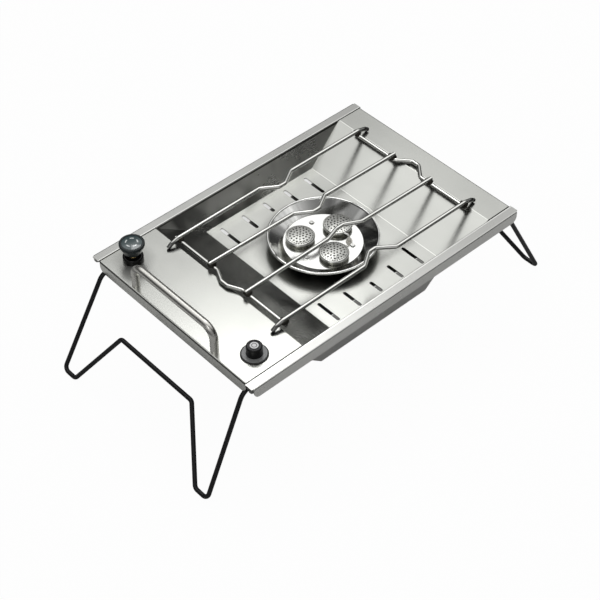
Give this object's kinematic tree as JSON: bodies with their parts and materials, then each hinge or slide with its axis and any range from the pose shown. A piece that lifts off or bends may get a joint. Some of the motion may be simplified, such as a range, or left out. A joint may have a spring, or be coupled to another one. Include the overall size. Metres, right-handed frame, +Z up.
{
  "type": "table-top gas burner",
  "caption": "Folded sheet-steel table burner with a recessed ring of burner heads, wire pot grate, gas knob, push igniter, front handle and folding wire legs.",
  "frame": {"origin": "centre of the footprint, at the floor under the feet", "axes": "+Z up; +X to the right as seen by the user; -Y towards the user, where the knob, handle and igniter are"},
  "size_m": [0.25, 0.489, 0.1576],
  "materials": {
    "tray_steel": "bright annealed sheet, satin to mirror, fine rolling grain across the width",
    "rail_steel": "brushed along the rail",
    "bowl_steel": "polished spun steel",
    "cap_steel": "pressed steel, slightly dull",
    "cup_steel": "drawn steel, darker and duller than the bowl",
    "grate_wire": "polished stainless wire",
    "handle_steel": "satin stainless rod",
    "housing_steel": "dull galvanised sheet",
    "plain_steel": "turned or drawn steel",
    "cast_grey": "as cast, fine grain",
    "brass": "turned brass",
    "knob_plastic": "dark blue-green black moulded plastic, semi-gloss",
    "disc_plastic": "glossy dark inlay",
    "black_gloss": "glossy black moulding",
    "black_matte": "black moulding",
    "button_plastic": "semi-gloss black",
    "bezel_grey": "grey ring",
    "gasket_rubber": "soft black ring",
    "lead_rubber": "insulated high-tension lead",
    "ceramic": null,
    "leg_black": "black powder coat on steel wire"
  },
  "bodies": {
    "chassis": {"tray": "tray_steel", "left_rail": "rail_steel", "right_rail": "rail_steel", "bowl": "bowl_steel", "burner_manifold": "cast_grey", "mixing_tube": "plain_steel", "injector": "brass", "back_burner_cup": "cup_steel", "back_burner_cap": "cap_steel", "left_burner_cup": "cup_steel", "left_burner_cap": "cap_steel", "right_burner_cup": "cup_steel", "right_burner_cap": "cap_steel", "burner_screws": "plain_steel", "spark_insulator": "ceramic", "spark_electrode": "plain_steel", "ignition_lead": "lead_rubber", "burner_housing": "housing_steel", "housing_studs": "plain_steel", "housing_nuts": "plain_steel", "gas_valve": "brass", "valve_nut": "plain_steel", "valve_collar": "black_gloss", "gas_inlet": "brass", "gas_pipe": "brass", "pipe_nuts": "brass", "handle": "handle_steel", "handle_washers": "plain_steel", "handle_screws": "plain_steel", "igniter_gasket": "gasket_rubber", "igniter_bezel": "bezel_grey", "igniter_body": "black_matte", "igniter_nut": "black_matte", "igniter_spring": "plain_steel"},
    "grate": {"left_outer_bar": "grate_wire", "left_inner_bar": "grate_wire", "right_inner_bar": "grate_wire", "right_outer_bar": "grate_wire", "front_cross_bar": "grate_wire", "back_cross_bar": "grate_wire"},
    "knob": {"gas_knob": "knob_plastic", "knob_disc": "disc_plastic", "valve_stem": "plain_steel"},
    "igniter_push": {"igniter_button": "button_plastic"},
    "front_support": {"front_leg": "leg_black"},
    "back_support": {"back_leg": "leg_black"}
  },
  "joints": [
    {"name": "grate_lift", "type": "slide", "parent": "chassis", "child": "grate", "axis": [0, 0, 1], "range_m": [0, 0.05]},
    {"name": "knob_turn", "type": "hinge", "parent": "chassis", "child": "knob", "pos_m": [-0.092, -0.157, 0.14], "axis": [0, 0, 1], "range_deg": [0, 270]},
    {"name": "igniter_press", "type": "slide", "parent": "chassis", "child": "igniter_push", "axis": [0, 0, -1], "range_m": [0, 0.006], "stiffness_N_per_m": 1500, "deforming": ["igniter_spring"]},
    {"name": "front_leg_fold", "type": "hinge", "parent": "chassis", "child": "front_support", "pos_m": [0, -0.174, 0.1132], "axis": [1, 0, 0], "range_deg": [0, 109]},
    {"name": "back_leg_fold", "type": "hinge", "parent": "chassis", "child": "back_support", "pos_m": [0, 0.174, 0.1132], "axis": [-1, 0, 0], "range_deg": [0, 75]}
  ]
}
